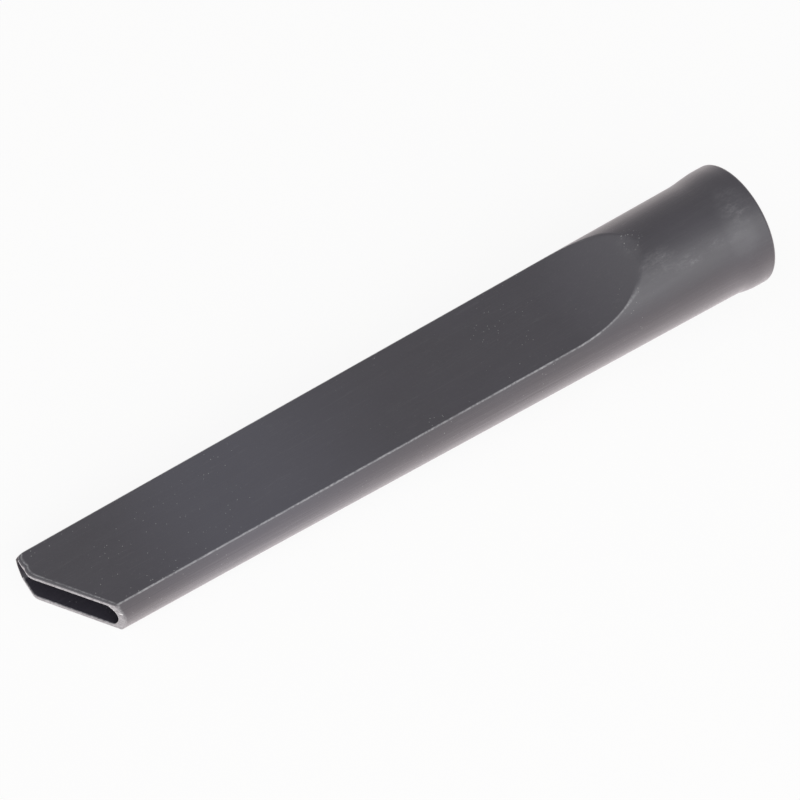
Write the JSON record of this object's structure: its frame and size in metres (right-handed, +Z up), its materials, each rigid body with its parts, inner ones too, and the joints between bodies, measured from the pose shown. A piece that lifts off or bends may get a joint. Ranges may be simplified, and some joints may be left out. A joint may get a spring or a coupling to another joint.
{
  "type": "vacuum cleaner crevice nozzle",
  "caption": "Slim flattened plastic suction nozzle with a slanted slot mouth and a round push-on socket with a low collar.",
  "frame": {"origin": "middle of the bounding box, on the table that the nozzle lies on", "axes": "+X along the nozzle towards its socket, +Z up; the nozzle's own axis rises towards the socket by about 3.5 degrees, because it lies on its mouth and on the front of its round end"},
  "size_m": [0.227, 0.0378, 0.0388],
  "materials": {
    "body": "satin moulded plastic, dark grey, scuffed by use"
  },
  "bodies": {
    "root": {"crevice_nozzle": "body"}
  },
  "joints": []
}
